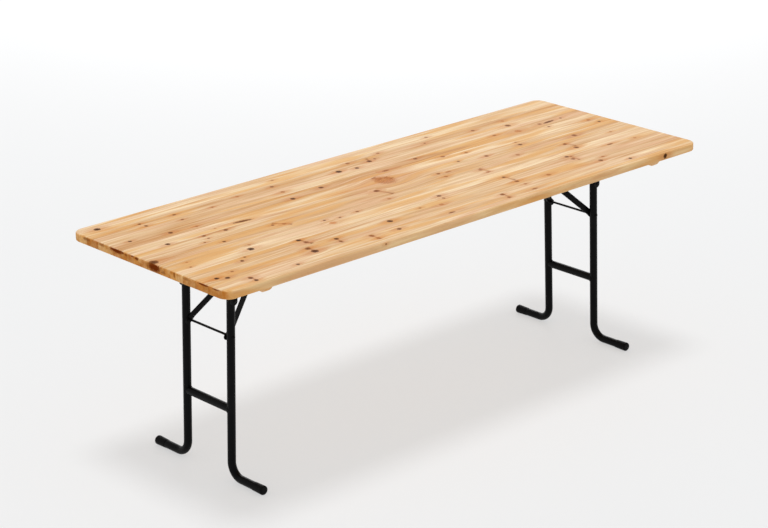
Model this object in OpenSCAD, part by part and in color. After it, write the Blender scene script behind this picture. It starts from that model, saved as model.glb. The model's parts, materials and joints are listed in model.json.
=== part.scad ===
// Folding table: a glued wooden board on two hinged tubular leg frames, each held open by a V-shaped brace.
// The origin is on the floor below the middle of the board, +X along its length and +Z up.
// Everything at one end is modelled at the left end (-X) and mirrored for the right end.

/* [Table top] */
// Length of the board
top_length = 2200; // [2100:10:2400]
// Width of the board
top_width = 800; // [700:10:900]
// Height of the upper face above the floor
table_height = 790; // [760:5:800]
// Thickness of the board
board_thickness = 30; // [27:1:34]
// Radius of the board's corners, seen from above
corner_radius = 40; // [20:5:80]
// Radius of the rounding along the board's edges
edge_radius = 6; // [3:1:10]

/* [Battens] */
// Width of the battens under the board
batten_width = 56; // [52:2:64]
// Depth of the battens
batten_depth = 28; // [26:1:30]
// Distance from the board's long edges to the ends of the battens
batten_inset = 40; // [30:5:80]
// Radius of the battens' lower edges, which are nearly half round
batten_round = 24; // [8:1:25]
// Radius of the rounding at the battens' lower ends
batten_end_round = 8; // [3:1:20]

/* [Leg frames] */
// Distance from the board's end to the fold axis
hinge_inset = 246; // [240:2:280]
// Distance from the board's underside to the fold axis
hinge_drop = 50; // [48:1:56]
// Outward lean of the open leg frames, in degrees
leg_splay = 2; // [1:0.5:3]
// Outer diameter of the leg tubes
tube_diameter = 28; // [26:1:30]
// Wall thickness of the leg tubes
tube_wall = 2; // [1.5:0.25:2.5]
// Distance between the centre lines of a frame's two tubes
leg_spacing = 230; // [220:5:250]
// Bend radius of the feet, on the tube's centre line
foot_bend = 50; // [45:1:70]
// Distance from the table's middle plane to the tip of a foot
foot_reach = 280; // [265:5:320]
// Distance from the fold axis down to the cross tube
cross_drop = 462; // [455:1:475]

/* [Braces] */
// Distance from the fold axis down to the brace rod
rod_drop = 210; // [205:1:215]
// Diameter of the brace rod and the apex pin
rod_diameter = 8; // [7:0.5:8]
// Horizontal run of an open brace for each unit of its rise
brace_run = 1.045; // [1.02:0.005:1.08]
// Width of the brace strips
strip_width = 22; // [20:1:22]
// Thickness of the brace strips
strip_thickness = 3; // [2.5:0.25:3]
// Distance from the board's underside to the latched apex pin
apex_drop = 16; // [15.5:0.5:18]

/* [Hidden] */
$fn = 64;

// Ends and rows
LEFT = 1;
RIGHT = -1;
FRONT = -1;
BACK = 1;

// Colours
PINE = "burlywood";
BLACK = "#1c1c1e";
PLASTIC = "#101012";
ZINC = "silver";

// Radial clearances: a pin that turns in its hole, and a pin that is fixed in it
running = 0.08;
snug = 0.05;

// Table top
underside = table_height - board_thickness;

// Leg frame, in millimetres from the fold axis along the leg
hinge_x = top_length / 2 - hinge_inset;
hinge_z = underside - hinge_drop;
tube_r = tube_diameter / 2;
bore_r = tube_r - tube_wall;
leg_y = leg_spacing / 2;
tube_top = 16;
rod_r = rod_diameter / 2;
rod_head_r = 7;
rod_head = 3.5;
washer_r = 8.5;
washer_thickness = 1.5;

// Foot caps, which widen from their mouth to their tip
cap_r = tube_r + 2;
cap_mouth_r = tube_r + 0.8;
cap_length = 50;
cap_round = 5;
cap_end = 3;
foot_drop = (hinge_z - cap_r) / cos(leg_splay);

// Plugs in the legs' open upper ends
plug_rim = 2;
plug_chamfer = 1.5;
plug_depth = 8;

// Hinge: bolts and brackets
bolt_r = 4;
bolt_head = 5.5;
bolt_hex = 13;
bolt_tail = 1.5;
nut_height = 6.5;
sheet = 3;
side_gap = 0.5;
ear_r = 15;
bracket_half = 20;
flange = 22;
hinge_screw_x = 11;
hinge_screw_inset = 10;

// Hinge: straps and their rivets
strap_thickness = 5;
strap_r = 13;
strap_end = 100;
rivet_r = 3;
rivet_head_r = 6;
rivet_head = 3.5;
rivet_tail_r = 4;
rivet_tail = 2;
rivet_drops = [42, strap_end - strap_r];

// Where the hinge's layers stand along Y
inner_ear_y = leg_y - tube_r - side_gap - sheet;
strap_y = leg_y + tube_r;
outer_ear_y = strap_y + strap_thickness + side_gap;
bracket_y0 = inner_ear_y - flange;
bracket_y1 = outer_ear_y + sheet + flange;

// Battens, which stand just outside the hinge brackets
batten_gap = 8;
batten_x = hinge_x + bracket_half + batten_gap + batten_width / 2;
batten_length = top_width - 2 * batten_inset;
batten_screw_inset = 60;
batten_screw_gaps = 5;

// Screws: radius, height and rim of the pan heads, shank radius and bite into the board
head_r = 4.5;
head_height = 2.5;
head_rim = 1;
shank_r = 2.25;
bite = 18;

// Brace, as a strip from the rod to the apex pin
strip_half = strip_width / 2;
strip_gap = 1;
strip_y_low = leg_y - tube_r - strip_gap - strip_thickness / 2;
strip_y_high = 9;
strip_tail = 6;
strip_flat = 18;
pin_head_r = 6.5;
pin_head = 3;
rod_x = -hinge_x - rod_drop * sin(leg_splay);
rod_z = hinge_z - rod_drop * cos(leg_splay);
apex_z = underside - apex_drop;
apex_x = rod_x + brace_run * (apex_z - rod_z);
brace_length = norm([apex_x - rod_x, apex_z - rod_z]);
brace_angle = atan2(apex_z - rod_z, apex_x - rod_x);

// Catch, from the apex pin: +X towards the middle of the table
path_slope = 20;
notch_gap = 0.4;
slot_length = 40;
web = 4;
plate_low = apex_drop - sheet;
plate_x = [-34, 42];
plate_half = 22;
catch_screw_x = [-26, 34];
catch_screw_y = 14;

// Latch, from the apex pin
latch_x = 26;
latch_z = 7;
latch_pin_r = 2.5;
latch_pin_head_r = 4;
latch_pin_head = 1;
latch_pin_y = -6.6;
latch_pin_tail_r = 3.5;
latch_pin_tail = 0.5;
lever_y = 2.6;
lever_thickness = 3;
lever_play = 0.3;
tab = [9, 24, 3];
tab_x = 45;
tab_z = 1;

// The latch's wire spring, in which the legs are finer than the coil
wire_r = 0.6;
leg_r = 0.5;
coil_r = 4.2;
coil_y = -3.3;
coil_pitch = 1.3;
coil_turns = 3;
spring_up = 5;
spring_tip = [25, -7.6];

// ---- Shared shapes ----

// Puts something that is modelled at the left end at the given end
module at_end(end) {
    if (end == LEFT) children();
    else mirror([1, 0, 0]) children();
}

// Puts something that is modelled in the back half at the given row
module at_row(row) {
    if (row == BACK) children();
    else mirror([0, 1, 0]) children();
}

module both_rows() {
    for (row = [FRONT, BACK]) at_row(row) children();
}

// A frame with its origin on the fold axis and the open leg along -Z
module on_leg() {
    translate([-hinge_x, 0, hinge_z]) rotate([0, leg_splay, 0]) children();
}

// A frame with its origin on the brace rod and the open brace along +X
module on_brace() {
    translate([rod_x, 0, rod_z]) rotate([0, -brace_angle, 0]) children();
}

// A frame with its origin on the latched apex pin
module on_catch() {
    translate([apex_x, 0, apex_z]) children();
}

// A cylinder along +Y
module rod_y(x, y0, y1, z, r) {
    translate([x, y0, z]) rotate([-90, 0, 0]) cylinder(h = y1 - y0, r = r);
}

// A flat outline in X and Z, as a plate from y0 to y1
module plate_y(y0, y1) {
    translate([0, y1, 0]) rotate([90, 0, 0]) linear_extrude(height = y1 - y0) children();
}

// A rectangle of w by h from the origin, with its right-hand corners rounded by r
module half_rounded(w, h, r) {
    square([w - r, h]);
    translate([0, r]) square([w, h - 2 * r]);
    translate([w - r, r]) circle(r);
    translate([w - r, h - r]) circle(r);
}

// A low dome along +Y on the plane y, as on a rivet's head
module dome_y(x, y, z, r, height) {
    ball = (r * r + height * height) / (2 * height);
    intersection() {
        translate([x, y + height - ball, z]) sphere(r = ball);
        rod_y(x, y, y + height, z, r);
    }
}

// A pan-headed screw that goes up from the plane z into the wood
module wood_screw(x, y, z, depth) {
    translate([x, y, z]) cylinder(h = depth, r = shank_r);
    translate([x, y, z - head_height + head_rim]) cylinder(h = head_height - head_rim, r = head_r);
    translate([x, y, z - head_height]) cylinder(h = head_rim, r1 = head_r - head_rim, r2 = head_r);
}

// ---- Wooden pieces ----

// The board: two bars with rounded edges that cross, and a rounded disc in each corner
module tabletop() {
    long_x = top_length - 2 * corner_radius;
    long_y = top_width - 2 * corner_radius;
    color(PINE) translate([0, 0, underside]) union() {
        translate([-long_x / 2, 0, 0]) rotate([90, 0, 90]) linear_extrude(height = long_x) {
            half_rounded(top_width / 2, board_thickness, edge_radius);
            mirror([1, 0]) half_rounded(top_width / 2, board_thickness, edge_radius);
        }
        translate([0, long_y / 2, 0]) rotate([90, 0, 0]) linear_extrude(height = long_y) {
            half_rounded(top_length / 2, board_thickness, edge_radius);
            mirror([1, 0]) half_rounded(top_length / 2, board_thickness, edge_radius);
        }
        for (x = [-1, 1], y = [-1, 1])
            translate([x * long_x / 2, y * long_y / 2, 0])
                rotate_extrude() half_rounded(corner_radius, board_thickness, edge_radius);
    }
}

// A batten across the board, rounded along its lower edges and at its lower ends
module batten(x) {
    color(PINE) translate([x, 0, underside - batten_depth]) intersection() {
        rotate([90, 0, 0]) linear_extrude(height = batten_length, center = true)
            batten_outline(batten_width, batten_round);
        rotate([90, 0, 90]) linear_extrude(height = batten_width, center = true)
            batten_outline(batten_length, batten_end_round);
    }
}

// A batten's outline across or along it, with its two lower corners rounded by r
module batten_outline(width, r) {
    inner = width - 2 * r;
    translate([-width / 2, r]) square([width, batten_depth - r]);
    translate([-inner / 2, 0]) square([inner, batten_depth]);
    for (side = [-1, 1]) intersection() {
        translate([side * inner / 2, r]) circle(r);
        translate([-width / 2, 0]) square([width, batten_depth]);
    }
}

// The screws along the middle of each batten
module batten_screws() {
    run = batten_length - 2 * batten_screw_inset;
    color(ZINC) for (x = [-batten_x, batten_x], i = [0:batten_screw_gaps])
        wood_screw(x, run * (i / batten_screw_gaps - 0.5), underside - batten_depth, batten_depth + bite);
}

// ---- Hinges under the board ----

// A bent sheet bracket: two flanges screwed to the board and two ears beside the leg
module hinge_bracket(end, row) {
    color(BLACK) at_end(end) at_row(row) translate([-hinge_x, 0, 0]) difference() {
        union() {
            translate([-bracket_half, bracket_y0, underside - sheet])
                cube([2 * bracket_half, bracket_y1 - bracket_y0, sheet]);
            for (y = [inner_ear_y, outer_ear_y]) {
                translate([-ear_r, y, hinge_z]) cube([2 * ear_r, sheet, hinge_drop]);
                rod_y(0, y, y + sheet, hinge_z, ear_r);
            }
        }
        rod_y(0, inner_ear_y - 1, outer_ear_y + sheet + 1, hinge_z, bolt_r + snug);
        at_hinge_screws() translate([0, 0, underside - sheet - 1])
            cylinder(h = sheet + 2, r = shank_r + snug);
    }
}

// Puts something at each of a bracket's four screws
module at_hinge_screws() {
    for (x = [-hinge_screw_x, hinge_screw_x])
        for (y = [bracket_y0 + hinge_screw_inset, bracket_y1 - hinge_screw_inset])
            translate([x, y, 0]) children();
}

module hinge_bolt(end, row) {
    color(ZINC) at_end(end) at_row(row) translate([-hinge_x, 0, 0]) {
        rod_y(0, inner_ear_y - nut_height - bolt_tail, outer_ear_y + sheet, hinge_z, bolt_r);
        translate([0, outer_ear_y + sheet, hinge_z]) rotate([-90, 0, 0])
            cylinder(h = bolt_head, r = bolt_hex / sqrt(3), $fn = 6);
    }
}

module hinge_nuts(end) {
    color(ZINC) at_end(end) both_rows() translate([-hinge_x, 0, 0]) difference() {
        translate([0, inner_ear_y - nut_height, hinge_z]) rotate([-90, 0, 0])
            cylinder(h = nut_height, r = bolt_hex / sqrt(3), $fn = 6);
        rod_y(0, inner_ear_y - nut_height - 1, inner_ear_y + 1, hinge_z, bolt_r + snug);
    }
}

module hinge_screws(end) {
    color(ZINC) at_end(end) both_rows() translate([-hinge_x, 0, 0])
        at_hinge_screws() wood_screw(0, 0, underside - sheet, sheet + bite);
}

// ---- Catches that hold the braces' apex pins ----

// A plate under the board with a web below it, which is notched for the apex pin
module catch_bracket(end) {
    notch_r = rod_r + notch_gap;
    slot_r = notch_r - 0.1;
    color(BLACK) at_end(end) on_catch() difference() {
        union() {
            translate([plate_x[0], -plate_half, plate_low])
                cube([plate_x[1] - plate_x[0], 2 * plate_half, sheet]);
            plate_y(-web / 2, web / 2) polygon([
                [-16, plate_low], [38, plate_low], [38, 3], [5, 3], [5, -11], [-8, -11], [-16, -4]]);
        }
        rod_y(0, -web, web, 0, notch_r);
        rotate([0, path_slope, 0]) translate([0, -web, -slot_r]) cube([slot_length, 2 * web, 2 * slot_r]);
        rod_y(latch_x, -web, web, latch_z, latch_pin_r + snug);
        for (x = catch_screw_x, y = [-1, 1])
            translate([x, y * catch_screw_y, plate_low - 1]) cylinder(h = sheet + 2, r = shank_r + snug);
    }
}

module catch_screws(end) {
    color(ZINC) at_end(end) on_catch() for (x = catch_screw_x, y = [-1, 1])
        wood_screw(x, y * catch_screw_y, plate_low, sheet + bite);
}

// The pin that the lever turns on, headed at both ends
module latch_pin(end) {
    lever_out = lever_y + lever_thickness + lever_play;
    color(ZINC) at_end(end) on_catch() {
        rod_y(latch_x, latch_pin_y, lever_out, latch_z, latch_pin_r);
        rod_y(latch_x, lever_out, lever_out + latch_pin_head, latch_z, latch_pin_head_r);
        rod_y(latch_x, latch_pin_y - latch_pin_tail, latch_pin_y, latch_z, latch_pin_tail_r);
    }
}

// The sprung lever: its tooth hangs in front of the apex pin, and its tab is pulled down to free it
module latch_lever(end) {
    color(BLACK) at_end(end) on_catch() difference() {
        union() {
            plate_y(lever_y, lever_y + lever_thickness) polygon([
                [9, 1.5], [9, 6.5], [21, 11], [30, 11], [36, 7], [54, 4], [54, 1], [34, 2], [14, 1.5]]);
            translate([tab_x, -tab[1] / 2, tab_z]) cube(tab);
        }
        rod_y(latch_x, lever_y - 1, lever_y + lever_thickness + 1, latch_z, latch_pin_r + running);
    }
}

// The lever's wire spring: turns about the pin, a short leg up and a long one under the tab
module latch_spring(end) {
    last_y = coil_y - (coil_turns - 1) * coil_pitch;
    reach = spring_tip + [0, coil_r];
    color(ZINC) at_end(end) on_catch() translate([latch_x, 0, latch_z]) {
        for (turn = [0:coil_turns - 1]) translate([0, coil_y - turn * coil_pitch, 0]) rotate([90, 0, 0])
            rotate_extrude() translate([coil_r, 0]) circle(wire_r, $fn = 24);
        translate([-coil_r, coil_y, 0]) cylinder(h = spring_up, r = leg_r, $fn = 24);
        translate([0, last_y, -coil_r]) rotate([0, 90 - atan2(reach[1], reach[0]), 0])
            cylinder(h = norm(reach), r = leg_r, $fn = 24);
    }
}

// ---- Leg frames ----

// The solid of a bent leg: straight, a quarter bend, and the foot, at radius r
module leg_path(r, top, tip) {
    straight = foot_drop - foot_bend;
    translate([0, leg_y, -straight]) cylinder(h = straight + top, r = r);
    translate([0, leg_y + foot_bend, -straight]) rotate([0, 90, 0]) rotate([0, 0, -90])
        rotate_extrude(angle = 90) translate([foot_bend, 0]) circle(r);
    rod_y(0, leg_y + foot_bend, tip, -foot_drop, r);
}

module leg_tube(end, row) {
    tip = foot_reach - cap_end - 1;
    color(BLACK) at_end(end) at_row(row) on_leg() difference() {
        leg_path(tube_r, tube_top, tip);
        leg_path(bore_r, tube_top + 1, tip + 1);
        rod_y(0, leg_y - tube_r - 1, strap_y + 1, 0, bolt_r + running);
        rod_y(0, leg_y - tube_r - 1, strap_y + 1, -rod_drop, rod_r + snug);
        for (drop = rivet_drops) rod_y(0, leg_y, strap_y + 1, -drop, rivet_r + snug);
    }
}

// The tube between the legs, its ends cut to the legs' round
module cross_tube(end) {
    color(BLACK) at_end(end) on_leg() difference() {
        rod_y(0, -leg_y, leg_y, -cross_drop, tube_r);
        rod_y(0, -leg_y - 1, leg_y + 1, -cross_drop, bore_r);
        for (side = [-1, 1])
            translate([0, side * leg_y, -cross_drop]) cylinder(h = 3 * tube_r, r = tube_r, center = true);
    }
}

// The flat strap on the outer side of a leg, which runs up to the hinge bolt
module hinge_strap(end, row) {
    color(BLACK) at_end(end) at_row(row) on_leg() difference() {
        plate_y(strap_y, strap_y + strap_thickness) {
            circle(strap_r);
            translate([-strap_r, -strap_end + strap_r]) square([2 * strap_r, strap_end - strap_r]);
            translate([0, -strap_end + strap_r]) circle(strap_r);
        }
        rod_y(0, strap_y - 1, strap_y + strap_thickness + 1, 0, bolt_r + running);
        for (drop = rivet_drops)
            rod_y(0, strap_y - 1, strap_y + strap_thickness + 1, -drop, rivet_r + snug);
    }
}

// The rivets that hold the straps on: a dome outside and an upset end inside the tube
module strap_rivets(end) {
    face = strap_y + strap_thickness;
    color(BLACK) at_end(end) both_rows() on_leg() for (drop = rivet_drops) {
        dome_y(0, face, -drop, rivet_head_r, rivet_head);
        rod_y(0, leg_y + bore_r - rivet_tail, face, -drop, rivet_r);
        rod_y(0, leg_y + bore_r - 1 - rivet_tail, leg_y + bore_r - 1, -drop, rivet_tail_r);
    }
}

// The plug in the open upper end of a leg
module top_plug(end, row) {
    color(PLASTIC) at_end(end) at_row(row) on_leg() translate([0, leg_y, tube_top]) {
        cylinder(h = plug_rim, r1 = tube_r, r2 = tube_r - plug_chamfer);
        translate([0, 0, -plug_depth]) cylinder(h = plug_depth, r = bore_r - snug);
    }
}

// The cap on the tip of a foot, which stands on the floor
module foot_cap(end, row) {
    shoulder = cap_length - cap_round;
    color(PLASTIC) at_end(end) at_row(row) on_leg()
        translate([0, foot_reach - cap_length, -foot_drop]) rotate([-90, 0, 0]) rotate_extrude() {
            polygon([
                [tube_r, 0], [cap_mouth_r, 0], [cap_r, shoulder],
                for (turn = [10:10:90]) [cap_r, shoulder] + cap_round * [cos(turn) - 1, sin(turn)],
                [0, cap_length], [0, cap_length - cap_end], [tube_r, cap_length - cap_end]]);
        }
}

// The rod through both legs that the brace turns on
module brace_rod(end) {
    color(BLACK) at_end(end) on_leg() {
        rod_y(0, -strap_y, strap_y, -rod_drop, rod_r);
        both_rows() dome_y(0, strap_y, -rod_drop, rod_head_r, rod_head);
    }
}

// Press-on washers that keep the strips beside the legs
module brace_washers(end) {
    face = strip_y_low - strip_thickness / 2 - side_gap;
    color(BLACK) at_end(end) both_rows() on_leg() difference() {
        rod_y(0, face - washer_thickness, face, -rod_drop, washer_r);
        rod_y(0, face - washer_thickness - 1, face + 1, -rod_drop, rod_r + snug);
    }
}

// ---- Braces ----

// A flat strip, bent so that its ends are parallel, with a hole at the rod and at the apex
module brace_strip(end, row) {
    half = strip_thickness / 2;
    slope = atan2(strip_y_low - strip_y_high, brace_length - 2 * strip_flat);
    miter = half * tan(slope / 2);
    color(BLACK) at_end(end) at_row(row) on_brace() difference() {
        intersection() {
            translate([0, 0, -strip_half]) linear_extrude(height = strip_width) polygon([
                for (side = [1, -1]) each [
                    for (step = side == 1 ? [0:3] : [3:-1:0]) strip_point(step) + side * [
                        step == 1 || step == 2 ? miter : 0, half]]]);
            plate_y(0, leg_y) {
                translate([-strip_tail, -strip_half]) square([brace_length + strip_tail, strip_width]);
                translate([-strip_tail, 0]) circle(strip_half);
                translate([brace_length, 0]) circle(strip_half);
            }
        }
        rod_y(0, strip_y_low - strip_thickness, strip_y_low + strip_thickness, 0, rod_r + running);
        rod_y(brace_length, strip_y_high - strip_thickness, strip_y_high + strip_thickness, 0, rod_r + snug);
    }
}

// The corners of the strip's middle line, seen from above
function strip_point(step) = [
    [-strip_tail - strip_half - 1, strip_y_low],
    [strip_flat, strip_y_low],
    [brace_length - strip_flat, strip_y_high],
    [brace_length + strip_half + 1, strip_y_high]
][step];

// The pin that joins the two strips and drops into the catch
module apex_pin(end) {
    face = strip_y_high + strip_thickness / 2;
    color(ZINC) at_end(end) on_brace() {
        rod_y(brace_length, -face, face, 0, rod_r);
        both_rows() dome_y(brace_length, face, 0, pin_head_r, pin_head);
    }
}

// ---- Nodes ----

tabletop();
batten(-batten_x);  // batten_left
batten(batten_x);  // batten_right
batten_screws();
hinge_bracket(LEFT, FRONT);  // hinge_bracket_left_front
hinge_bracket(LEFT, BACK);  // hinge_bracket_left_back
hinge_bracket(RIGHT, FRONT);  // hinge_bracket_right_front
hinge_bracket(RIGHT, BACK);  // hinge_bracket_right_back
hinge_bolt(LEFT, FRONT);  // hinge_bolt_left_front
hinge_bolt(LEFT, BACK);  // hinge_bolt_left_back
hinge_bolt(RIGHT, FRONT);  // hinge_bolt_right_front
hinge_bolt(RIGHT, BACK);  // hinge_bolt_right_back
hinge_nuts(LEFT);  // hinge_nuts_left
hinge_nuts(RIGHT);  // hinge_nuts_right
hinge_screws(LEFT);  // hinge_screws_left
hinge_screws(RIGHT);  // hinge_screws_right
catch_bracket(LEFT);  // catch_bracket_left
catch_bracket(RIGHT);  // catch_bracket_right
catch_screws(LEFT);  // catch_screws_left
catch_screws(RIGHT);  // catch_screws_right
latch_pin(LEFT);  // latch_pin_left
latch_pin(RIGHT);  // latch_pin_right
leg_tube(LEFT, FRONT);  // leg_tube_left_front
leg_tube(LEFT, BACK);  // leg_tube_left_back
leg_tube(RIGHT, FRONT);  // leg_tube_right_front
leg_tube(RIGHT, BACK);  // leg_tube_right_back
cross_tube(LEFT);  // cross_tube_left
cross_tube(RIGHT);  // cross_tube_right
hinge_strap(LEFT, FRONT);  // hinge_strap_left_front
hinge_strap(LEFT, BACK);  // hinge_strap_left_back
hinge_strap(RIGHT, FRONT);  // hinge_strap_right_front
hinge_strap(RIGHT, BACK);  // hinge_strap_right_back
strap_rivets(LEFT);  // strap_rivets_left
strap_rivets(RIGHT);  // strap_rivets_right
top_plug(LEFT, FRONT);  // top_plug_left_front
top_plug(LEFT, BACK);  // top_plug_left_back
top_plug(RIGHT, FRONT);  // top_plug_right_front
top_plug(RIGHT, BACK);  // top_plug_right_back
foot_cap(LEFT, FRONT);  // foot_cap_left_front
foot_cap(LEFT, BACK);  // foot_cap_left_back
foot_cap(RIGHT, FRONT);  // foot_cap_right_front
foot_cap(RIGHT, BACK);  // foot_cap_right_back
brace_rod(LEFT);  // brace_rod_left
brace_rod(RIGHT);  // brace_rod_right
brace_washers(LEFT);  // brace_washers_left
brace_washers(RIGHT);  // brace_washers_right
brace_strip(LEFT, FRONT);  // brace_strip_left_front
brace_strip(LEFT, BACK);  // brace_strip_left_back
brace_strip(RIGHT, FRONT);  // brace_strip_right_front
brace_strip(RIGHT, BACK);  // brace_strip_right_back
apex_pin(LEFT);  // apex_pin_left
apex_pin(RIGHT);  // apex_pin_right
latch_lever(LEFT);  // latch_lever_left
latch_lever(RIGHT);  // latch_lever_right
latch_spring(LEFT);  // latch_spring_left
latch_spring(RIGHT);  // latch_spring_right
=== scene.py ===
"""Looks for the folding table: its glued pine board, coated leg frames and fasteners, in a plain studio."""
import json
import math
import random

import bmesh
import bpy
import numpy as np
from mathutils import Matrix, Vector


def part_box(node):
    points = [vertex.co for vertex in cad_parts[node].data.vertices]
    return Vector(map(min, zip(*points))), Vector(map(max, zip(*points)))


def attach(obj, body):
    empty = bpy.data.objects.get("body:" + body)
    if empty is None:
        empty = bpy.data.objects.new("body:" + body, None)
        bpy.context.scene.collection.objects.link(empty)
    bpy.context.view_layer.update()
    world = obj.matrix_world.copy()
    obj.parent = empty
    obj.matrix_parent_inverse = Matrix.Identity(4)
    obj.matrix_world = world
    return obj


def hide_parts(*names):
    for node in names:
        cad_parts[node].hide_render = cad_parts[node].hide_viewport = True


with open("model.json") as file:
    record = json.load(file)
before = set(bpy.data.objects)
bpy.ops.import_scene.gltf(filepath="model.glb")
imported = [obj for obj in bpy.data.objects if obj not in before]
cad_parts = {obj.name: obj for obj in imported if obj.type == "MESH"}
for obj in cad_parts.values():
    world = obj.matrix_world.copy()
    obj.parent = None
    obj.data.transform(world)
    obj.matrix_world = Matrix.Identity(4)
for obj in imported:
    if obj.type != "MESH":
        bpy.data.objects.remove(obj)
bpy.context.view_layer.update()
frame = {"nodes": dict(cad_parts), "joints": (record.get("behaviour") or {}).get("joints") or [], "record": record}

nodes = frame["nodes"]
scene = bpy.context.scene

ENDS = {"left": -1, "right": 1}
ROWS = {"front": -1, "back": 1}

# Sizes that the CAD model has, in metres
BOARD_LOW, BOARD_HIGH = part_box("tabletop")
CORNER_RADIUS = 0.040
EDGE_RADIUS = 0.006
TUBE_RADIUS = 0.014
LEG_Y = 0.115
LEG_SPLAY = math.radians(2)
CROSS_DROP = 0.462
HINGE = {j["child"]: Vector(j["pos_m"]) for j in frame["joints"]}

# The board's staves, from the front edge to the back: how light each one is, from 0 to 1
STAVE_WIDTH = 0.0625
STAVE_TONES = (0.66, 0.62, 0.36, 0.50, 0.80, 0.50, 0.38, 0.46, 0.70, 0.18, 0.62, 0.34, 0.68, 0.74)

# Knots in the upper face: x and y in metres, radius in millimetres, darkness from 0 to 1, and for the ones
# cut along the branch their length over their width and the angle of their length
KNOTS = (
    (-1.030, 0.350, 11, 1.0), (-0.900, 0.295, 6, 0.7), (-0.895, 0.265, 7, 0.7), (-0.760, 0.290, 6, 0.7),
    (-0.770, 0.233, 6, 0.6), (-0.620, 0.263, 5, 0.5), (-0.490, 0.290, 7, 0.3), (-1.025, 0.180, 6, 0.9),
    (-0.880, 0.155, 8, 0.8), (-0.780, 0.145, 6, 0.4), (-0.370, 0.140, 9, 0.9), (-0.955, 0.073, 8, 0.9),
    (-0.823, 0.054, 7, 0.7), (-0.826, 0.026, 5, 0.6), (-0.735, 0.050, 8, 0.7), (-0.750, 0.087, 5, 0.3),
    (-0.860, 0.003, 5, 0.6), (-0.810, -0.034, 6, 0.8), (-0.595, -0.020, 6, 0.7), (-0.560, -0.037, 8, 0.4),
    (-0.795, -0.149, 11, 1.0), (-0.773, -0.115, 6, 0.3), (-1.017, -0.103, 5, 0.3), (-1.035, -0.146, 5, 0.5),
    (-0.885, -0.215, 7, 0.8), (-0.857, -0.194, 5, 0.7), (-0.633, -0.193, 8, 1.0), (-0.628, -0.225, 9, 0.6),
    (-0.665, -0.274, 9, 0.7), (-0.663, -0.307, 12, 0.9), (-0.537, -0.267, 8, 0.9), (-0.543, -0.295, 6, 0.7),
    (-1.042, -0.282, 8, 1.0), (-1.014, -0.301, 8, 0.9), (-0.968, -0.267, 6, 0.5), (-0.964, -0.352, 8, 0.8),
    (-0.964, -0.379, 7, 0.9), (-0.780, -0.361, 6, 1.0), (-0.436, -0.326, 10, 0.5), (-0.436, -0.357, 8, 0.4),
    (-0.443, -0.103, 5, 0.8), (-0.387, -0.117, 5, 0.7), (-0.440, -0.142, 14, 0.1), (-1.090, -0.030, 15, 0.8),
    (-0.337, 0.289, 7, 0.7), (-0.290, 0.343, 6, 0.4), (-0.347, 0.220, 9, 0.4), (-0.222, 0.164, 9, 0.8),
    (-0.061, 0.254, 11, 0.95), (0.013, 0.240, 8, 0.9), (0.025, 0.303, 9, 0.5), (0.097, 0.268, 9, 0.85),
    (0.130, 0.275, 6, 0.6), (0.183, 0.317, 7, 0.5), (-0.113, 0.002, 11, 0.65), (-0.139, -0.089, 8, 0.3),
    (-0.306, -0.113, 6, 0.6), (0.001, -0.186, 8, 0.8), (-0.004, -0.214, 7, 0.5), (-0.296, -0.261, 10, 0.9),
    (-0.327, -0.339, 8, 0.8), (-0.056, -0.257, 10, 0.3), (-0.133, -0.233, 5, 0.6), (0.303, -0.197, 7, 0.8),
    (0.303, -0.260, 9, 0.6), (0.303, -0.301, 7, 0.4), (0.163, -0.327, 9, 0.6), (0.157, -0.364, 7, 0.5),
    (0.170, -0.009, 8, 0.6), (0.167, -0.050, 8, 0.4), (0.304, -0.081, 8, 0.5), (0.304, -0.117, 7, 0.4),
    (0.320, 0.123, 9, 0.5), (0.320, 0.044, 5, 0.8), (0.233, 0.174, 8, 0.7), (0.441, 0.336, 7, 0.5),
    (0.387, 0.286, 5, 0.6), (0.623, 0.275, 8, 0.6), (0.760, 0.229, 12, 0.65), (0.787, 0.284, 8, 0.3),
    (0.635, 0.176, 8, 0.5), (0.412, 0.098, 7, 0.5), (0.736, 0.153, 15, 0.25), (0.858, 0.159, 9, 0.5),
    (0.971, 0.159, 6, 0.7), (0.858, 0.112, 6, 0.6), (0.436, 0.019, 9, 0.6), (0.620, 0.030, 8, 0.8),
    (0.629, 0.062, 5, 0.5), (1.040, 0.026, 6, 1.0), (1.025, 0.067, 9, 0.4), (0.843, -0.029, 11, 0.6),
    (0.525, -0.050, 9, 0.4), (0.736, -0.082, 8, 0.6), (0.739, -0.136, 10, 0.7), (0.970, -0.093, 6, 0.4),
    (0.631, -0.189, 8, 0.8), (0.628, -0.222, 9, 0.6), (0.976, -0.206, 7, 0.3), (0.686, -0.302, 9, 0.7),
    (0.724, -0.277, 7, 0.4), (0.434, -0.287, 10, 0.4), (0.777, -0.360, 7, 0.9),
    (-0.012, 0.070, 46, 0.30, 0.9, 0),
    (-0.640, 0.080, 8, 0.75, 4.5, -8), (0.903, 0.156, 7, 0.8, 4.0, 5), (0.064, 0.147, 7, 0.5, 2.5, 0),
    (-0.089, -0.340, 6, 0.6, 2.5, 0), (0.210, -0.017, 6, 0.4, 2.5, 0), (0.853, -0.195, 6, 0.6, 2.5, 0),
    (0.289, -0.359, 6, 0.5, 2.5, 0),
)
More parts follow.
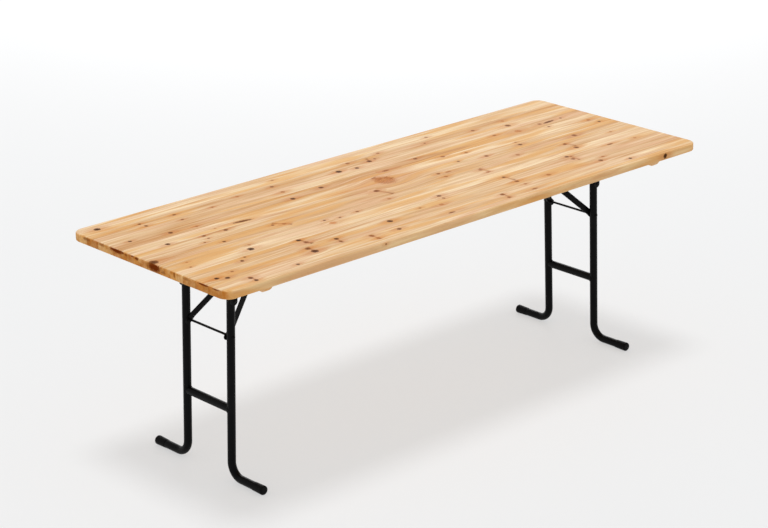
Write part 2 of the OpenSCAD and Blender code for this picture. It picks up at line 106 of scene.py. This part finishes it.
# Branches cut along their length, from one side of a stave to the other: both ends in metres, half the
# width in millimetres, darkness from 0 to 1
SPIKES = (
    (0.743, -0.070, 0.754, -0.122, 6, 0.6), (0.314, -0.066, 0.316, -0.120, 6, 0.5),
    (0.306, -0.195, 0.310, -0.245, 6, 0.6), (0.644, -0.192, 0.639, -0.245, 6, 0.6),
    (0.169, -0.316, 0.162, -0.370, 7, 0.6), (-0.114, 0.010, -0.090, -0.058, 8, 0.55),
    (-0.586, -0.004, -0.543, -0.058, 5, 0.5), (-0.631, -0.190, -0.619, -0.246, 7, 0.8),
    (-0.657, -0.262, -0.662, -0.308, 9, 0.7), (-0.537, -0.262, -0.543, -0.308, 6, 0.6),
    (-0.026, 0.118, -0.014, 0.086, 17, 0.8), (0.010, 0.094, 0.020, 0.066, 15, 0.8),
    (-0.438, -0.316, -0.434, -0.368, 7, 0.4), (-0.964, -0.340, -0.962, -0.372, 5, 0.6),
    (0.097, 0.258, 0.110, 0.300, 7, 0.6),
)
# Dark patches in the end grain, the same at both ends: y, the drop from the top and half the height in
# millimetres, darkness from 0 to 1, length over height
END_PATCHES = (
    (-44, 11, 15, 1.0, 2.1), (150, 5, 8, 1.0, 4.5), (102, 7, 5, 0.6, 1.5), (69, 4, 4, 0.8, 2.0),
    (46, 5, 6, 0.9, 1.6), (-145, 9, 11, 0.7, 0.35), (-288, 3, 4, 0.95, 6.0), (-350, 3, 3, 0.8, 6.0),
    (313, 8, 6, 0.6, 3.0), (232, 6, 5, 0.5, 3.5), (-90, 16, 6, 0.5, 2.0), (-205, 8, 5, 0.4, 3.0),
)
# Knots in the front edge: x and z in metres, radius in millimetres, darkness from 0 to 1
FRONT_KNOTS = ((0.920, 0.776, 9, 1.0), (-0.442, 0.782, 4, 0.5))
# Knots scattered over the two faces that have no list: how many, the seed of their places, and the least
# distance between two of them in metres
UNDERSIDE_KNOTS = 70
UNDERSIDE_SEED = 7
BACK_KNOTS = 6
BACK_SEED = 4
SCATTER_GAP = 0.03

# The finer mesh of the board: size of its grid in metres, steps round a corner and over an edge, and rings
# between the grid and the edge
BOARD_GRID = 0.0125
CORNER_STEPS = 12
EDGE_STEPS = 5
RIM_RINGS = 3

# Weld beads: radius in metres, points round the joint, and how much of the radius the ripples are
BEAD_RADIUS = 0.0021
BEAD_POINTS = 120
BEAD_SIDES = 10
RIPPLE_POINTS = 5
RIPPLE_DEPTH = 0.16
UNEVENNESS = 0.06

# Studio, with its lengths in metres
FLOOR_HALF = 40.0
FLOOR_COLOR = (0.316, 0.32, 0.324, 1)
FLOOR_GLOW = 0.53
SKY_AT_HORIZON = 0.80
SKY_OVERHEAD = 0.52
SUN_STRENGTH = 1.45
SUN_ANGLE = math.radians(16)
SUN_PLACE = (-0.01, 0.01, 1.0)
BACKDROP_WATTS = 125
BACKDROP_SIZE = 4
BACKDROP_SPREAD = math.radians(96)
BACKDROP_PLACE = (6.6, 6.8, 3.2)
BACKDROP_TARGET = (5.0, 5.4, 0)

# Camera: its place in metres, its lens and sensor width in millimetres
CAMERA_PLACE = (-5.1372, -5.4883, 3.2405)
CAMERA_AZIMUTH = math.radians(-42.635)
CAMERA_ELEVATION = math.radians(20.046)
CAMERA_ROLL = math.radians(-0.682)
CAMERA_LENS = 107.76
CAMERA_SENSOR = 36


# ---- Node trees ----

class Graph:
    """A material's node tree, with short calls for the nodes that this scene needs."""

    def __init__(self, name):
        self.material = bpy.data.materials.new(name)
        self.material.use_nodes = True
        self.tree = self.material.node_tree
        self.shader = self.tree.nodes["Principled BSDF"]

    def put(self, socket, value):
        if isinstance(value, bpy.types.NodeSocket):
            self.tree.links.new(value, socket)
        else:
            socket.default_value = value

    def node(self, kind, inputs, **settings):
        made = self.tree.nodes.new("ShaderNode" + kind)
        for key, value in settings.items():
            setattr(made, key, value)
        for key, value in inputs.items():
            self.put(made.inputs[key], value)
        return made

    def math(self, operation, a, b=0.0, c=0.0):
        return self.node("Math", {0: a, 1: b, 2: c}, operation=operation).outputs[0]

    def add(self, a, b):
        return self.math("ADD", a, b)

    def sub(self, a, b):
        return self.math("SUBTRACT", a, b)

    def mul(self, a, b):
        return self.math("MULTIPLY", a, b)

    def div(self, a, b):
        return self.math("DIVIDE", a, b)

    def length(self, a, b):
        return self.math("SQRT", self.add(self.mul(a, a), self.mul(b, b)))

    def vector(self, x, y, z):
        return self.node("CombineXYZ", {0: x, 1: y, 2: z}).outputs[0]

    def parts(self, vector):
        return self.node("SeparateXYZ", {0: vector}).outputs

    def noise(self, vector, scale=1.0, detail=2.0, roughness=0.5):
        sockets = {"Vector": vector, "Scale": scale, "Detail": detail, "Roughness": roughness}
        return self.node("TexNoise", sockets).outputs[0]

    def random(self, value):
        """Three random numbers from 0 to 1 that stay the same wherever value does."""
        white = self.node("TexWhiteNoise", {"W": value}, noise_dimensions="1D")
        return self.node("SeparateColor", {0: white.outputs["Color"]}).outputs

    def step(self, value, low, high):
        """A smooth rise from 0 at low to 1 at high, or a fall where low is the higher of the two."""
        sockets = {"Value": value, "From Min": min(low, high), "From Max": max(low, high)}
        rise = self.node("MapRange", sockets, interpolation_type="SMOOTHSTEP").outputs[0]
        return rise if low < high else self.sub(1.0, rise)

    def mix(self, factor, a, b, blend="MIX"):
        made = self.tree.nodes.new("ShaderNodeMix")
        made.data_type = "RGBA"
        made.blend_type = blend
        for index, value in ((0, factor), (6, a), (7, b)):
            ready = isinstance(value, (float, bpy.types.NodeSocket))
            self.put(made.inputs[index], value if ready else (*value, 1))
        return made.outputs[2]

    def shade(self, color, amount):
        """The colour times a plain number."""
        grey = self.node("CombineColor", {0: amount, 1: amount, 2: amount}).outputs[0]
        return self.mix(1.0, color, grey, "MULTIPLY")

    def bump(self, height, distance, strength=1.0):
        sockets = {"Height": height, "Distance": distance, "Strength": strength}
        self.put(self.shader.inputs["Normal"], self.node("Bump", sockets).outputs[0])

    def finish(self, **inputs):
        for key, value in inputs.items():
            self.put(self.shader.inputs[key.replace("_", " ")], value)
        return self.material


def srgb(red, green, blue):
    """A colour given as it looks on a screen, 0 to 255, as the shader's linear numbers."""
    return tuple(
        ((c / 255 + 0.055) / 1.055) ** 2.4 if c > 10 else c / 255 / 12.92
        for c in (red, green, blue)
    )


PALE_PINE = srgb(243, 221, 183)
DEEP_PINE = srgb(200, 152, 101)
GOLDEN_PINE = srgb(223, 172, 106)
ROSY_PINE = srgb(226, 187, 151)
RED_WOOD = srgb(192, 110, 46)
KNOT_PALE = srgb(198, 120, 58)
KNOT_BROWN = srgb(126, 66, 22)
KNOT_BLACK = srgb(62, 30, 10)


# ---- Materials ----

def growth(g, u, v, w, stave, pitch, bend):
    """Latewood lines, and each year's own tone, for rings about a pith that wanders from stave to stave."""
    chance = g.random(stave)
    drift = g.sub(g.noise(g.vector(g.mul(u, 0.55), g.mul(stave, 7.3), 0.0), 1.0, 1.0), 0.5)
    pith_v = g.add(g.mul(g.sub(chance[0], 0.5), 0.12), g.mul(drift, 0.16))
    pith_w = g.add(g.mul(chance[1], 0.10), 0.015)
    v_local = g.sub(g.sub(v, bend), g.mul(g.add(stave, 0.5), pitch))
    w_local = g.add(g.sub(w, BOARD_LOW.z), pith_w)
    radius = g.length(g.sub(v_local, pith_v), w_local)
    spacing = g.add(g.mul(chance[2], 0.0026), 0.0020)
    shiver_place = g.vector(g.mul(u, 2.6), g.mul(v, 34.0), g.add(g.mul(w, 34.0), g.mul(stave, 3.1)))
    year = g.add(g.div(radius, spacing), g.mul(g.noise(shiver_place, 1.0, 3.0), 1.3))
    season = g.math("FRACT", year)
    late = g.mul(g.step(season, 0.30, 0.92), g.step(season, 1.0, 0.95))
    return late, g.random(g.math("FLOOR", year))[0]


def knot_layer(g, layer):
    """One layer of a piece's knots: where there are any, how dark, the offset over their size, the radius."""
    near = g.node("Attribute", {}, attribute_name=layer + "_near").outputs["Fac"]
    dark = g.node("Attribute", {}, attribute_name=layer + "_dark").outputs["Fac"]
    offset = g.parts(g.node("Attribute", {}, attribute_name=layer).outputs["Vector"])
    return near, dark, offset[0], offset[1], offset[2]


def knot_color(g, dark, shade):
    """From orange wood in a pale knot to a nearly black one."""
    color = g.mix(g.step(dark, 0.0, 0.7), KNOT_PALE, KNOT_BROWN)
    color = g.mix(g.step(dark, 0.6, 1.0), color, KNOT_BLACK)
    return g.shade(color, shade)


def add_knots(g, color, wobble):
    """The round knots: red wood around each one, rings inside it, and bark around the darker ones."""
    near, dark, across_u, across_v, size = knot_layer(g, "knot")
    reach = g.add(g.length(across_u, across_v), g.mul(wobble, 0.9))
    halo_reach = g.add(g.length(g.mul(across_u, 0.36), across_v), g.mul(wobble, 1.2))
    halo = g.mul(near, g.step(halo_reach, 2.4, 0.7))
    color = g.mix(g.mul(halo, g.math("MULTIPLY_ADD", dark, 0.16, 0.24)), color, RED_WOOD)
    rings = g.math("SINE", g.mul(reach, g.add(g.mul(size, 700.0), 8.0)))
    core = g.mul(near, g.step(reach, 1.18, 0.62))
    ring_depth = g.math("MULTIPLY_ADD", size, 9.0, 0.12)
    inside = knot_color(g, dark, g.add(g.mul(rings, ring_depth), 1.0))
    color = g.mix(g.mul(core, g.math("MULTIPLY_ADD", dark, 0.35, 0.58)), color, inside)
    heart = g.mul(near, g.mul(g.step(reach, 0.62, 0.15), g.step(dark, 0.35, 0.8)))
    color = g.mix(g.mul(heart, 0.55), color, KNOT_BLACK)
    rim = g.mul(g.step(reach, 0.72, 0.92), g.step(reach, 1.18, 0.98))
    bark = g.mul(g.mul(near, g.step(dark, 0.45, 0.95)), rim)
    return g.mix(g.mul(bark, 0.55), color, KNOT_BLACK), core


def add_spikes(g, color, wobble):
    """The branches cut along their length: thin in the middle, thick and dark at both ends."""
    near, dark, along_branch, beside, _ = knot_layer(g, "spike")
    ends = g.mul(along_branch, along_branch)
    half_width = g.math("MULTIPLY_ADD", ends, 0.60, 0.55)
    reach = g.add(g.div(g.math("ABSOLUTE", beside), half_width), g.mul(wobble, 0.9))
    inside = g.mul(near, g.step(g.math("ABSOLUTE", along_branch), 1.06, 0.92))
    halo = g.mul(inside, g.step(reach, 4.0, 0.8))
    color = g.mix(g.mul(halo, 0.22), color, RED_WOOD)
    core = g.mul(inside, g.step(reach, 1.3, 0.3))
    shade = g.math("MULTIPLY_ADD", ends, -0.35, 1.1)
    return g.mix(g.mul(core, g.math("MULTIPLY_ADD", ends, 0.30, 0.45)), color, knot_color(g, dark, shade))


def end_grain(g, color, stave, v, w, chance):
    """Sawn ends, which soak up the varnish: golden and brown patches, some staves darker, and dark spots."""
    patch_place = g.vector(g.mul(stave, 11.3), g.mul(v, 30.0), g.mul(w, 45.0))
    patch = g.step(g.noise(patch_place, 1.0, 3.0), 0.42, 0.66)
    tint = g.mix(patch, srgb(249, 225, 184), srgb(222, 180, 122))
    tint = g.mix(g.mul(g.step(chance, 0.45, 0.95), 0.6), tint, srgb(212, 166, 106))
    color = g.mix(1.0, color, tint, "MULTIPLY")
    near, dark, across_u, across_v, _ = knot_layer(g, "patch")
    ragged = g.sub(g.noise(g.vector(g.mul(v, 160.0), 0.0, g.mul(w, 160.0)), 1.0, 3.0), 0.5)
    spot = g.step(g.add(g.length(across_u, across_v), g.mul(ragged, 1.4)), 1.35, 0.55)
    return g.mix(g.mul(g.mul(near, spot), dark), color, srgb(112, 46, 6))


def pine(name, along, across, pitch, tones):
    """Varnished pine: growth rings cut through in three dimensions, fibres, streaks, knots and end grain."""
    g = Graph(name)
    coordinates = g.node("TexCoord", {})
    place = g.parts(coordinates.outputs["Object"])
    u, v, w = place[along], place[across], place[2]
    stave = g.math("FLOOR", g.div(v, pitch))
    chance = g.random(g.add(stave, 40.5))

    # The grain flows round each knot
    near, _, across_u, across_v, size = knot_layer(g, "knot")
    gap = g.add(g.mul(g.mul(across_u, across_u), 0.16), g.mul(g.mul(across_v, across_v), 0.34))
    swell = g.mul(near, g.math("POWER", math.e, g.mul(gap, -1.0)))
    bend = g.mul(g.mul(g.mul(across_v, size), swell), 0.85)
    wave = g.sub(g.noise(g.vector(g.mul(u, 2.6), g.mul(v, 9.0), g.mul(w, 9.0)), 1.0, 2.0), 0.5)
    v_bent = g.add(g.sub(v, bend), g.mul(wave, 0.020))
    late, year_tone = growth(g, u, v, w, stave, pitch, bend)

    # Fibres, resin dashes, and broad drifts of tone and hue
    fibre = g.noise(g.vector(g.mul(u, 7.0), g.mul(v_bent, 620.0), g.mul(w, 620.0)), 1.0, 3.0, 0.6)
    dash_place = g.vector(g.mul(u, 55.0), g.mul(v_bent, 900.0), g.mul(w, 900.0))
    zone_place = g.vector(g.mul(u, 3.0), g.mul(v, 12.0), g.mul(stave, 2.7))
    dash_zone = g.step(g.noise(zone_place, 1.0, 2.0), 0.50, 0.68)
    dash = g.mul(dash_zone, g.step(g.noise(dash_place, 1.0, 2.0), 0.63, 0.75))

    def drift(along_scale, across_scale, stave_step, depth_scale, detail=3.0):
        """Slow noise, stretched along the grain and different in each stave."""
        third = g.add(g.mul(stave, stave_step), g.mul(w, depth_scale))
        return g.noise(g.vector(g.mul(u, along_scale), g.mul(v_bent, across_scale), third), 1.0, detail)

    broad = drift(2.0, 30.0, 5.7, 18.0)
    band = drift(3.6, 95.0, 3.3, 60.0)
    hue = drift(2.6, 24.0, 8.9, 15.0, 2.0)
    streak = g.step(drift(4.2, 60.0, 9.1, 30.0), 0.54, 0.74)

    if tones:
        ramp = g.node("ValToRGB", {0: g.div(g.add(stave, len(tones) / 2 + 0.5), float(len(tones)))})
        ramp.color_ramp.interpolation = "CONSTANT"
        stops = ramp.color_ramp.elements
        stops.remove(stops[-1])
        for i, tone in enumerate(tones):
            stop = stops[0] if i == 0 else stops.new(i / len(tones))
            stop.color = (tone, tone, tone, 1)
        tone = ramp.outputs[0]
    else:
        tone = g.mul(chance[0], 0.7)
    tone = g.math("MULTIPLY_ADD", g.sub(broad, 0.5), 1.7, tone)
    tone = g.math("MULTIPLY_ADD", g.sub(band, 0.5), 1.2, tone)
    tone = g.math("MULTIPLY_ADD", g.sub(year_tone, 0.5), 0.14, tone)
    tone = g.node("Clamp", {0: tone}).outputs[0]

    color = g.mix(tone, DEEP_PINE, PALE_PINE)
    color = g.mix(g.mul(g.step(hue, 0.47, 0.64), 0.75), color, GOLDEN_PINE)
    color = g.mix(g.mul(g.step(hue, 0.49, 0.32), 0.60), color, ROSY_PINE)
    color = g.mix(g.mul(late, 0.32), color, g.mix(1.0, color, srgb(226, 172, 122), "MULTIPLY"))
    color = g.mix(g.mul(streak, 0.34), color, RED_WOOD)
    color = g.shade(color, g.math("MULTIPLY_ADD", g.sub(fibre, 0.5), 0.36, 1.0))
    color = g.mix(g.mul(dash, 0.55), color, KNOT_BROWN)

    # The glue line between two staves
    seam = g.step(g.math("PINGPONG", v, pitch / 2), 0.0008, 0.0002)
    color = g.shade(color, g.math("MULTIPLY_ADD", seam, -0.2, 1.0))

    wobble = g.sub(g.noise(g.vector(u, v, w), 190.0, 3.0), 0.5)
    facing = g.parts(coordinates.outputs["Normal"])
    # Painted shade: faces that look across the grain, the long sides, are tinted darker and more golden than the
    # top, for the less light that reaches them
    side = g.step(g.math("ABSOLUTE", facing[across]), 0.40, 0.85)
    color = g.mix(side, color, g.mix(1.0, color, srgb(255, 245, 226), "MULTIPLY"))
    end = g.step(g.math("ABSOLUTE", facing[along]), 0.50, 0.85)
    if tones:
        color = g.mix(end, color, end_grain(g, color, stave, v, w, chance[1]))
    color = add_spikes(g, color, wobble)
    color, core = add_knots(g, color, wobble)

    rough = g.math("MULTIPLY_ADD", fibre, 0.16, 0.34)
    rough = g.math("MULTIPLY_ADD", end, 0.20, rough)
    g.bump(g.add(g.mul(late, 0.35), g.add(g.mul(fibre, 0.5), g.mul(core, -0.5))), 0.00018)
    return g.finish(Base_Color=color, Roughness=rough, Specular_IOR_Level=0.01)


def powder_coat(name):
    """Satin black powder coat, with the faint orange peel that it cures to and rubbed patches."""
    g = Graph(name)
    place = g.node("TexCoord", {}).outputs["Object"]
    peel = g.noise(place, 900.0, 2.0, 0.6)
    rubbed = g.step(g.noise(place, 14.0, 3.0), 0.5, 0.75)
    color = g.mix(rubbed, (0.0016, 0.0016, 0.0018), (0.0042, 0.0042, 0.0045))
    rough = g.math("MULTIPLY_ADD", rubbed, 0.10, g.math("MULTIPLY_ADD", peel, 0.12, 0.26))
    g.bump(peel, 0.00006)
    return g.finish(Base_Color=color, Roughness=rough, Specular_IOR_Level=0.08)


def black_plastic(name):
    """Moulded black plastic with a fine spark-eroded grain."""
    g = Graph(name)
    place = g.node("TexCoord", {}).outputs["Object"]
    grain = g.noise(place, 1600.0, 3.0, 0.7)
    dust = g.step(g.noise(place, 60.0, 4.0, 0.7), 0.55, 0.8)
    color = g.mix(dust, (0.0020, 0.0020, 0.0022), (0.0070, 0.0068, 0.0065))
    rough = g.math("MULTIPLY_ADD", grain, 0.16, 0.42)
    g.bump(grain, 0.00008)
    return g.finish(Base_Color=color, Roughness=rough, Specular_IOR_Level=0.08)


def zinc(name):
    """Bright zinc plate with a faint yellow cast and fine turning marks."""
    g = Graph(name)
    place = g.node("TexCoord", {}).outputs["Object"]
    cloud = g.noise(place, 120.0, 3.0)
    x, y, z = g.parts(place)
    scratch = g.noise(g.vector(g.mul(x, 900.0), g.mul(y, 900.0), g.mul(z, 4200.0)), 1.0, 2.0)
    color = g.mix(cloud, (0.56, 0.57, 0.58), (0.66, 0.63, 0.54))
    rough = g.math("MULTIPLY_ADD", cloud, 0.18, g.math("MULTIPLY_ADD", scratch, 0.14, 0.16))
    g.bump(scratch, 0.00003)
    return g.finish(Base_Color=color, Roughness=rough, Metallic=1.0)


board_pine = pine("varnished pine board", 0, 1, STAVE_WIDTH, STAVE_TONES)
batten_pine = pine("varnished pine batten", 1, 0, 0.5, None)
MATERIALS = {
    "board_pine": board_pine,
    "batten_pine": batten_pine,
    "black_coat": powder_coat("black powder coat"),
    "black_plastic": black_plastic("black plastic"),
    "zinc": zinc("zinc plate"),
}
for row in frame["record"]["subparts"]:
    slots = nodes[row["node"]].data.materials
    slots.clear()
    slots.append(MATERIALS[row["material_slot"]])


# ---- Pieces ----

def new_piece(name, vertices, faces, slot, body):
    """A mesh piece with the finish of the record's slot, riding on a body."""
    mesh = bpy.data.meshes.new(name)
    mesh.from_pydata(vertices, [], faces)
    tidy = bmesh.new()
    tidy.from_mesh(mesh)
    bmesh.ops.remove_doubles(tidy, verts=tidy.verts, dist=1e-6)
    bmesh.ops.recalc_face_normals(tidy, faces=tidy.faces)
    tidy.to_mesh(mesh)
    tidy.free()
    mesh.materials.append(MATERIALS[slot])
    mesh.polygons.foreach_set("use_smooth", [True] * len(mesh.polygons))
    piece = bpy.data.objects.new(name, mesh)
    scene.collection.objects.link(piece)
    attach(piece, body)
    return piece


def steps(low, high, size):
    """Even steps from low to high, of about the given size."""
    return list(np.linspace(low, high, max(1, round((high - low) / size)) + 1))


def slab(low, high, radius, edge, size):
    """A board with round corners and rounded edges: a grid above and below, and rings round its sides."""
    core_x = steps(low.x + radius, high.x - radius, size)
    core_y = steps(low.y + radius, high.y - radius, size)
    loop = []
    quarter = [math.pi / 2 * i / CORNER_STEPS for i in range(CORNER_STEPS + 1)]
    sides = (
        ([(x, core_y[0]) for x in core_x], -math.pi / 2),
        ([(core_x[-1], y) for y in core_y], 0.0),
        ([(x, core_y[-1]) for x in core_x[::-1]], math.pi / 2),
        ([(core_x[0], y) for y in core_y[::-1]], math.pi),
    )
    for points, facing in sides:
        loop += [(p, facing) for p in points]
        loop += [(points[-1], facing + turn) for turn in quarter[1:-1]]

    flat = radius - edge
    arc = [math.pi / 2 * i / EDGE_STEPS for i in range(EDGE_STEPS + 1)]
    profile = [(flat * i / RIM_RINGS, high.z) for i in range(RIM_RINGS)]
    profile += [(flat + edge * math.sin(a), high.z - edge * (1 - math.cos(a))) for a in arc]
    profile += [(radius, (high.z + low.z) / 2)]
    profile += [(offset, low.z + high.z - z) for offset, z in profile[-2::-1]]

    vertices, faces = [], []
    for offset, z in profile:
        vertices += [(x + offset * math.cos(a), y + offset * math.sin(a), z) for (x, y), a in loop]
    count = len(loop)
    for ring in range(len(profile) - 1):
        for i in range(count):
            j = (i + 1) % count
            a, b = ring * count, (ring + 1) * count
            faces.append((a + i, b + i, b + j, a + j))
    for z in (high.z, low.z):
        start = len(vertices)
        vertices += [(x, y, z) for y in core_y for x in core_x]
        wide = len(core_x)
        for row in range(len(core_y) - 1):
            for column in range(wide - 1):
                a = start + row * wide + column
                faces.append((a, a + 1, a + wide + 1, a + wide))
    return vertices, [f for f in faces if len({vertices[i] for i in f}) > 2]


# The two directions in each face of the board, by the axis that the face looks along
FACE_AXES = {
    "X": (Vector((0, 1, 0)), Vector((0, 0, 1))),
    "Y": (Vector((1, 0, 0)), Vector((0, 0, 1))),
    "Z": (Vector((1, 0, 0)), Vector((0, 1, 0))),
}


def knot(x, y, z, radius, dark, stretch=1.0, turn=0.0, normal="Z"):
    """A knot's centre, its two directions over its size in each, its radius in metres, and its darkness."""
    radius /= 1000
    angle = math.radians(turn)
    first, second = FACE_AXES[normal]
    along = (first * math.cos(angle) + second * math.sin(angle)) / (radius * stretch)
    beside = (second * math.cos(angle) - first * math.sin(angle)) / radius
    return (x, y, z), along, beside, radius, dark


def spike(x0, y0, x1, y1, half, dark):
    """A branch cut along its length, as a stretched knot."""
    long = math.hypot(x1 - x0, y1 - y0) / 2
    turn = math.degrees(math.atan2(y1 - y0, x1 - x0))
    return knot((x0 + x1) / 2, (y0 + y1) / 2, BOARD_HIGH.z, half, dark, long * 1000 / half, turn)


def scatter(count, low, high, z, seed, normal="Z"):
    """Knots scattered over a face of the board, kept apart from each other."""
    chance = random.Random(seed)
    found = []
    while len(found) < count:
        place = Vector(chance.uniform(a, b) for a, b in zip(low, high))
        if normal == "Z":
            place.z = z
        elif normal == "Y":
            place.y = z
        if all((place - Vector(other[0])).length > SCATTER_GAP for other in found):
            stretch = chance.choice((1, 1, 1, 2.5))
            radius = chance.uniform(4.5, 10)
            dark = chance.uniform(0.25, 0.95)
            found.append(knot(*place, radius, dark, stretch, 0, normal))
    return found


def mark(piece, layer, sides):
    """Writes on the corners of each side's faces their offset from the nearest knot, for the pine to read."""
    mesh = piece.data
    count = len(mesh.loops)
    corner_vertex = np.empty(count, int)
    mesh.loops.foreach_get("vertex_index", corner_vertex)
    points = np.empty(len(mesh.vertices) * 3)
    mesh.vertices.foreach_get("co", points)
    corners_at = points.reshape(-1, 3)[corner_vertex]
    offset, near, darkness = np.zeros((count, 3)), np.zeros(count), np.zeros(count)
    for facing, knots in sides:
        centre, along, beside, radius, dark = (np.array(column) for column in zip(*knots))
        for face in mesh.polygons:
            if face.normal.dot(facing) > 0.5:
                # A knot claims wood further along its length than beside it
                gap = np.array(face.center) - centre
                k = np.hypot((gap * along).sum(axis=1) * 0.6, (gap * beside).sum(axis=1)).argmin()
                corners = list(face.loop_indices)
                gap = corners_at[corners] - centre[k]
                size = [radius[k]] * len(corners)
                offset[corners] = np.column_stack((gap @ along[k], gap @ beside[k], size))
                near[corners], darkness[corners] = 1, dark[k]
    layers = (
        (layer, "FLOAT_VECTOR", "vector", offset),
        (layer + "_near", "FLOAT", "value", near),
        (layer + "_dark", "FLOAT", "value", darkness),
    )
    for name, kind, field, values in layers:
        mesh.attributes.new(name, kind, "CORNER").data.foreach_set(field, values.ravel())


vertices, faces = slab(BOARD_LOW, BOARD_HIGH, CORNER_RADIUS, EDGE_RADIUS, BOARD_GRID)
board = new_piece("board", vertices, faces, "board_pine", "table_top")
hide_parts("tabletop")
UP, DOWN = Vector((0, 0, 1)), Vector((0, 0, -1))
top_knots = [knot(x, y, BOARD_HIGH.z, *rest) for x, y, *rest in KNOTS]
front_knots = [knot(x, BOARD_LOW.y, z, *rest, normal="Y") for x, z, *rest in FRONT_KNOTS]
mark(board, "knot", (
    (UP, top_knots),
    (DOWN, scatter(UNDERSIDE_KNOTS, BOARD_LOW, BOARD_HIGH, BOARD_LOW.z, UNDERSIDE_SEED)),
    (Vector((0, -1, 0)), front_knots),
    (Vector((0, 1, 0)), scatter(BACK_KNOTS, BOARD_LOW, BOARD_HIGH, BOARD_HIGH.y, BACK_SEED, "Y")),
))
mark(board, "spike", ((UP, [spike(*row) for row in SPIKES]),))
patches = [knot(BOARD_LOW.x, y / 1000, BOARD_HIGH.z - drop / 1000, half, dark, stretch, 0, "X")
           for y, drop, half, dark, stretch in END_PATCHES]
mark(board, "patch", ((Vector((-1, 0, 0)), patches), (Vector((1, 0, 0)), patches)))


def sweep(path, radii, sides):
    """A closed tube of changing radius along a closed path."""
    vertices, faces = [], []
    count = len(path)
    for i, (point, radius) in enumerate(zip(path, radii)):
        ahead = (path[(i + 1) % count] - path[i - 1]).normalized()
        normal = ahead.cross(Vector((0, 1, 0))).normalized()
        other = ahead.cross(normal)
        for k in range(sides):
            a = 2 * math.pi * k / sides
            vertices.append(point + radius * (math.cos(a) * normal + math.sin(a) * other))
            j = (i + 1) % count
            n = (k + 1) % sides
            faces.append((i * sides + k, j * sides + k, j * sides + n, i * sides + n))
    return vertices, faces


def weld_beads():
    """A rippled bead round each saddle joint between a cross tube and a leg."""
    for end, sign in ENDS.items():
        body = "leg_frame_" + end
        hinge = HINGE[body]
        lean = Matrix.Rotation(-sign * LEG_SPLAY, 3, "Y")
        for row, side in ROWS.items():
            path, radii = [], []
            for i in range(BEAD_POINTS):
                a = 2 * math.pi * i / BEAD_POINTS
                out = TUBE_RADIUS * math.sqrt(math.sin(a) ** 2 + 0.004)
                height = TUBE_RADIUS * math.sin(a) - CROSS_DROP
                point = Vector((TUBE_RADIUS * math.cos(a), side * (LEG_Y - out), height))
                path.append(hinge + lean @ point)
                ripple = 1 + RIPPLE_DEPTH * math.cos(i * 2 * math.pi / RIPPLE_POINTS)
                radii.append(BEAD_RADIUS * (ripple + UNEVENNESS * math.sin(i * 0.9)))
            vertices, faces = sweep(path, radii, BEAD_SIDES)
            new_piece(f"weld_bead_{end}_{row}", vertices, faces, "black_coat", body)


weld_beads()


# ---- Studio ----

def studio():
    """A plain pale floor that glows a little, under soft white light from overhead and a lamp behind."""
    mesh = bpy.data.meshes.new("floor")
    corners = [(x * FLOOR_HALF, y * FLOOR_HALF, 0) for x, y in ((-1, -1), (1, -1), (1, 1), (-1, 1))]
    mesh.from_pydata(corners, [], [(0, 1, 2, 3)])
    floor = bpy.data.objects.new("floor", mesh)
    scene.collection.objects.link(floor)
    paint = bpy.data.materials.new("pale floor")
    paint.use_nodes = True
    surface = paint.node_tree.nodes["Principled BSDF"].inputs
    surface["Base Color"].default_value = FLOOR_COLOR
    surface["Emission Color"].default_value = (1, 1, 1, 1)
    surface["Emission Strength"].default_value = FLOOR_GLOW
    surface["Roughness"].default_value = 0.6
    surface["Specular IOR Level"].default_value = 0.0
    mesh.materials.append(paint)

    world = bpy.data.worlds.new("studio")
    scene.world = world
    world.use_nodes = True
    background = world.node_tree.nodes["Background"].inputs
    background["Color"].default_value = (1, 1, 1, 1)
    tree = world.node_tree
    height = tree.nodes.new("ShaderNodeSeparateXYZ")
    tree.links.new(tree.nodes.new("ShaderNodeTexCoord").outputs["Generated"], height.inputs[0])
    strength = tree.nodes.new("ShaderNodeMapRange")
    tree.links.new(height.outputs["Z"], strength.inputs["Value"])
    strength.inputs["To Min"].default_value = SKY_AT_HORIZON
    strength.inputs["To Max"].default_value = SKY_OVERHEAD
    tree.links.new(strength.outputs[0], background["Strength"])

    overhead = bpy.data.lights.new("overhead", "SUN")
    overhead.energy = SUN_STRENGTH
    overhead.angle = SUN_ANGLE
    backdrop = bpy.data.lights.new("backdrop", "AREA")
    backdrop.energy = BACKDROP_WATTS
    backdrop.size = BACKDROP_SIZE
    backdrop.spread = BACKDROP_SPREAD
    lamps = (
        (overhead, SUN_PLACE, (0, 0, 0)),
        (backdrop, BACKDROP_PLACE, BACKDROP_TARGET),
    )
    for lamp, place, target in lamps:
        light = bpy.data.objects.new(lamp.name, lamp)
        light.location = place
        light.rotation_euler = (Vector(target) - light.location).to_track_quat("-Z", "Y").to_euler()
        scene.collection.objects.link(light)
    scene.view_settings.view_transform = "Standard"


def camera():
    """A long lens about eight metres from the table, to its front left and above it."""
    level = math.cos(CAMERA_ELEVATION)
    back = Vector((
        math.sin(CAMERA_AZIMUTH) * level,
        -math.cos(CAMERA_AZIMUTH) * level,
        math.sin(CAMERA_ELEVATION),
    ))
    right = Vector((math.cos(CAMERA_AZIMUTH), math.sin(CAMERA_AZIMUTH), 0))
    up = back.cross(right)
    turned_right = right * math.cos(CAMERA_ROLL) + up * math.sin(CAMERA_ROLL)
    turned_up = back.cross(turned_right)
    turn = Matrix((turned_right, turned_up, back)).transposed().to_4x4()
    lens = bpy.data.cameras.new("camera")
    lens.sensor_width = CAMERA_SENSOR
    lens.lens = CAMERA_LENS
    lens.clip_end = 100
    eye = bpy.data.objects.new("camera", lens)
    eye.matrix_world = Matrix.Translation(CAMERA_PLACE) @ turn
    scene.collection.objects.link(eye)
    scene.camera = eye


studio()
camera()
